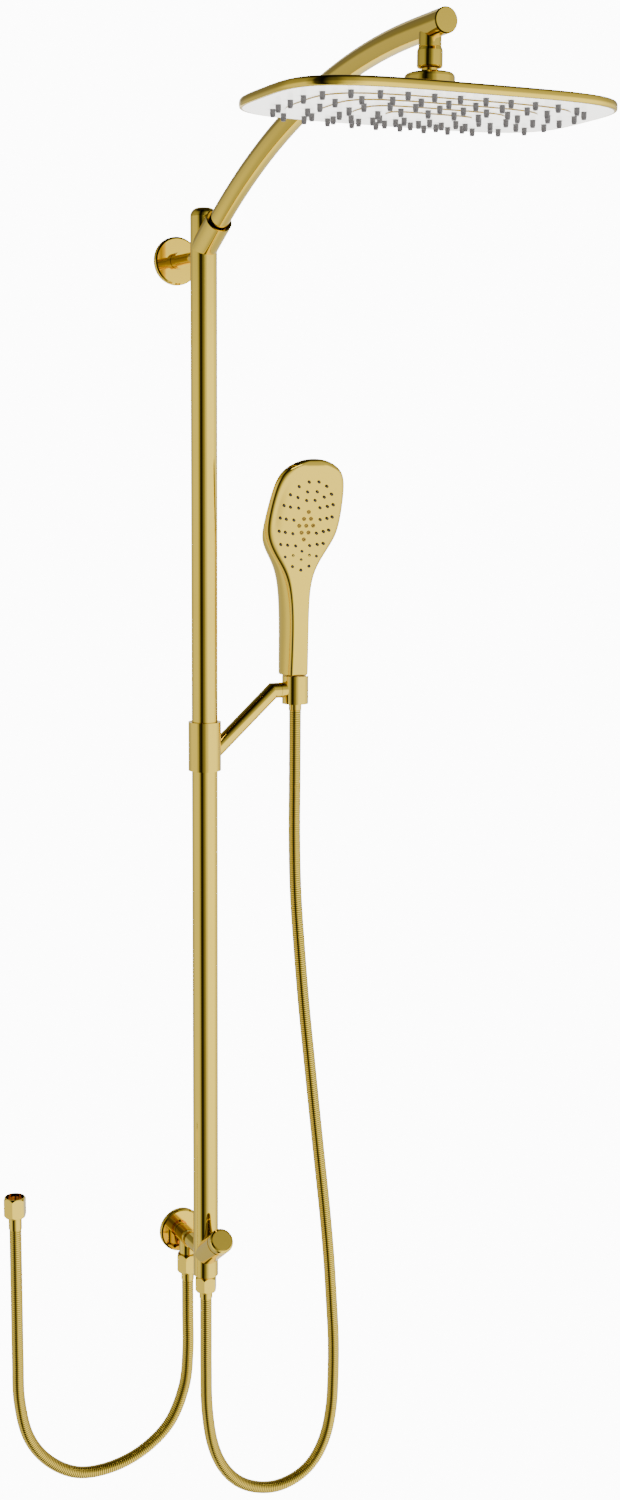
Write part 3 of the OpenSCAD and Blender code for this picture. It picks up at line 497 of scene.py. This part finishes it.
# ---- Spray plate ----
# The overhead shower's underside: a pearl-white gloss moulding in flat terraces, with
# plating on the narrow steps between them.
pearl = moulded("pearl_plate", (0.95, 0.94, 0.90), (0.92, 0.90, 0.84), 0.1, 25)
wear(pearl, "head_spray_plate")
tree = pearl.node_tree
shader = tree.nodes["Principled BSDF"]
skin = next(n for n in tree.nodes if n.type == "GROUP")
way = tree.nodes.new("ShaderNodeNewGeometry")
parts = tree.nodes.new("ShaderNodeSeparateXYZ")
level = tree.nodes.new("ShaderNodeMath")
level.operation = "ABSOLUTE"
step = tree.nodes.new("ShaderNodeMapRange")
step.inputs["From Min"].default_value = 0.8
step.inputs["From Max"].default_value = 0.6
plated = tree.nodes.new("ShaderNodeMix")
plated.data_type = "RGBA"
plated.inputs[7].default_value = (0.20, 0.13, 0.02, 1)
tree.links.new(way.outputs["Normal"], parts.inputs[0])
tree.links.new(parts.outputs["Z"], level.inputs[0])
tree.links.new(level.outputs[0], step.inputs["Value"])
tree.links.new(step.outputs["Result"], plated.inputs["Factor"])
tree.links.new(skin.outputs["Color"], plated.inputs[6])
tree.links.new(plated.outputs[2], shader.inputs["Base Color"])
tree.links.new(step.outputs["Result"], shader.inputs["Metallic"])

# ---- Wall flanges ----
# Two cover discs in a slightly richer plating than the rail's.
flange_gold = gold_finish("flange_gold", (0.92, 0.65, 0.065), (0.88, 0.59, 0.05), 0.03)
wear(flange_gold, "upper_flange", "lower_flange")

# ---- Inner pieces ----
# What the casings hide: steel plates, screws and springs, turned brass, rubber rings,
# and the moulded bushes, cartridge and water ways.
steel = moulded("plain_steel", (0.55, 0.55, 0.56), (0.42, 0.42, 0.43), 0.32, 120, 1.0)
brass = moulded("turned_brass", (0.72, 0.52, 0.20), (0.60, 0.41, 0.14), 0.28, 180, 1.0)
white = moulded("white_plastic", (0.82, 0.82, 0.80), (0.74, 0.74, 0.71), 0.5, 300)
black = moulded("black_plastic", (0.02, 0.02, 0.02), (0.045, 0.045, 0.045), 0.4, 400)
wear(
    steel, "upper_wall_plate", "lower_wall_plate", "standoff_grub_screws",
    "socket_grub_screw", "tilt_washer", "selector_spring", "knob_screw",
)
wear(
    brass, "ball_cup", "tilt_pin", "handset_inlet", "cartridge_ring", "diverter_spindle",
    "diverter_outlet",
)
wear(
    rubber, "arm_o_rings", "filter_washer", "ball_lower_seal", "bush_o_rings",
    "handset_washer", "hose_washers",
)
wear(white, "ball_upper_seat", "slider_bush", "handset_waterway", "diverter_cartridge")
wear(black, "holder_liner")

# ---- Stage ----
# A bright white room with a pale floor. Going round the walls, soft panels light the
# right side most, and the side that the viewer stands on is dim, which draws the dark
# line down each tube.
room = bpy.data.worlds.new("room")
bpy.context.scene.world = room
room.use_nodes = True
tree = room.node_tree
sky = tree.nodes["Background"]
way = tree.nodes.new("ShaderNodeTexCoord")
parts = tree.nodes.new("ShaderNodeSeparateXYZ")
front = tree.nodes.new("ShaderNodeMath")
front.operation = "MULTIPLY"
front.inputs[1].default_value = -1
bearing = tree.nodes.new("ShaderNodeMath")
bearing.operation = "ARCTAN2"
share = tree.nodes.new("ShaderNodeMapRange")
share.inputs["From Min"].default_value = -pi
share.inputs["From Max"].default_value = pi
walls = tree.nodes.new("ShaderNodeValToRGB")
walls.color_ramp.interpolation = "EASE"
# Bearing from straight ahead of the wall, in degrees to the right, and the tone there
wall_tones = [
    (-180, 0.30), (-150, 0.34), (-122, 0.56), (-84, 0.56), (-70, 0.34), (-58, 0.03),
    (-45, 0.005), (-24, 0.16), (-6, 0.55), (10, 1.0), (60, 1.0), (92, 0.7), (124, 0.42),
    (180, 0.30),
]
for i, (degrees_right, light) in enumerate(wall_tones):
    at = (degrees_right + 180) / 360
    stop = walls.color_ramp.elements[0] if i == 0 else walls.color_ramp.elements.new(at)
    stop.position = at
    stop.color = (light, light, light, 1)
walls.color_ramp.elements.remove(walls.color_ramp.elements[-1])
height = tree.nodes.new("ShaderNodeMapRange")
height.inputs["From Min"].default_value = -1
heights = tree.nodes.new("ShaderNodeValToRGB")
# How far up the room is lit: full to eye level, then dim, and a dark ceiling
for i, (rise, light) in enumerate([(-1, 1), (0.04, 1), (0.2, 0.42), (0.62, 0.34), (0.86, 0.02)]):
    at = (rise + 1) / 2
    stop = heights.color_ramp.elements[0] if i == 0 else heights.color_ramp.elements.new(at)
    stop.position = at
    stop.color = (light, light, light, 1)
heights.color_ramp.elements.remove(heights.color_ramp.elements[-1])
lit = tree.nodes.new("ShaderNodeMix")
lit.data_type = "RGBA"
lit.blend_type = "MULTIPLY"
lit.inputs["Factor"].default_value = 1
ray = tree.nodes.new("ShaderNodeLightPath")
power = tree.nodes.new("ShaderNodeMapRange")
power.inputs["To Min"].default_value = 1.85
power.inputs["To Max"].default_value = 12
seen = tree.nodes.new("ShaderNodeMix")
seen.data_type = "RGBA"
seen.inputs[7].default_value = (1, 1, 1, 1)
tree.links.new(way.outputs["Generated"], parts.inputs[0])
tree.links.new(parts.outputs["Y"], front.inputs[0])
tree.links.new(parts.outputs["X"], bearing.inputs[0])
tree.links.new(front.outputs[0], bearing.inputs[1])
tree.links.new(bearing.outputs[0], share.inputs["Value"])
tree.links.new(share.outputs["Result"], walls.inputs[0])
tree.links.new(parts.outputs["Z"], height.inputs["Value"])
tree.links.new(height.outputs["Result"], heights.inputs[0])
tree.links.new(walls.outputs[0], lit.inputs[6])
tree.links.new(heights.outputs[0], lit.inputs[7])
tree.links.new(ray.outputs["Is Camera Ray"], seen.inputs["Factor"])
tree.links.new(lit.outputs[2], seen.inputs[6])
tree.links.new(seen.outputs[2], sky.inputs["Color"])
tree.links.new(ray.outputs["Is Camera Ray"], power.inputs["Value"])
tree.links.new(power.outputs["Result"], sky.inputs["Strength"])

# The floor
work = bmesh.new()
bmesh.ops.create_grid(work, x_segments=1, y_segments=1, size=1.5)
bmesh.ops.translate(work, vec=(0.05, -0.95, -0.9), verts=work.verts)
mesh = bpy.data.meshes.new("floor")
work.to_mesh(mesh)
work.free()
pale = moulded("pale_floor", (0.92, 0.92, 0.91), (0.88, 0.88, 0.87), 0.8, 3)
pale.node_tree.nodes["Principled BSDF"].inputs["Emission Color"].default_value = (1, 1, 0.99, 1)
pale.node_tree.nodes["Principled BSDF"].inputs["Emission Strength"].default_value = 5
mesh.materials.append(pale)
floor = bpy.data.objects.new("floor", mesh)
bpy.context.scene.collection.objects.link(floor)
floor.visible_glossy = False
floor.visible_diffuse = False

# A soft lamp above on the right, and one that lights the spray plate from below
for name, watts, size, at, target in (
    ("soft_lamp", 40, 2, (1.5, -2.5, 2.6), (0, 0, 0.5)),
    ("low_lamp", 320, 3, (0, -1, -0.88), (0, -1, 1)),
):
    lamp = bpy.data.lights.new(name, "AREA")
    lamp.energy = watts
    lamp.size = size
    lamp_object = bpy.data.objects.new(name, lamp)
    bpy.context.scene.collection.objects.link(lamp_object)
    lamp_object.visible_glossy = False
    lamp_object.location = at
    ahead = Vector(target) - Vector(at)
    lamp_object.rotation_euler = ahead.to_track_quat("-Z", "Y").to_euler()
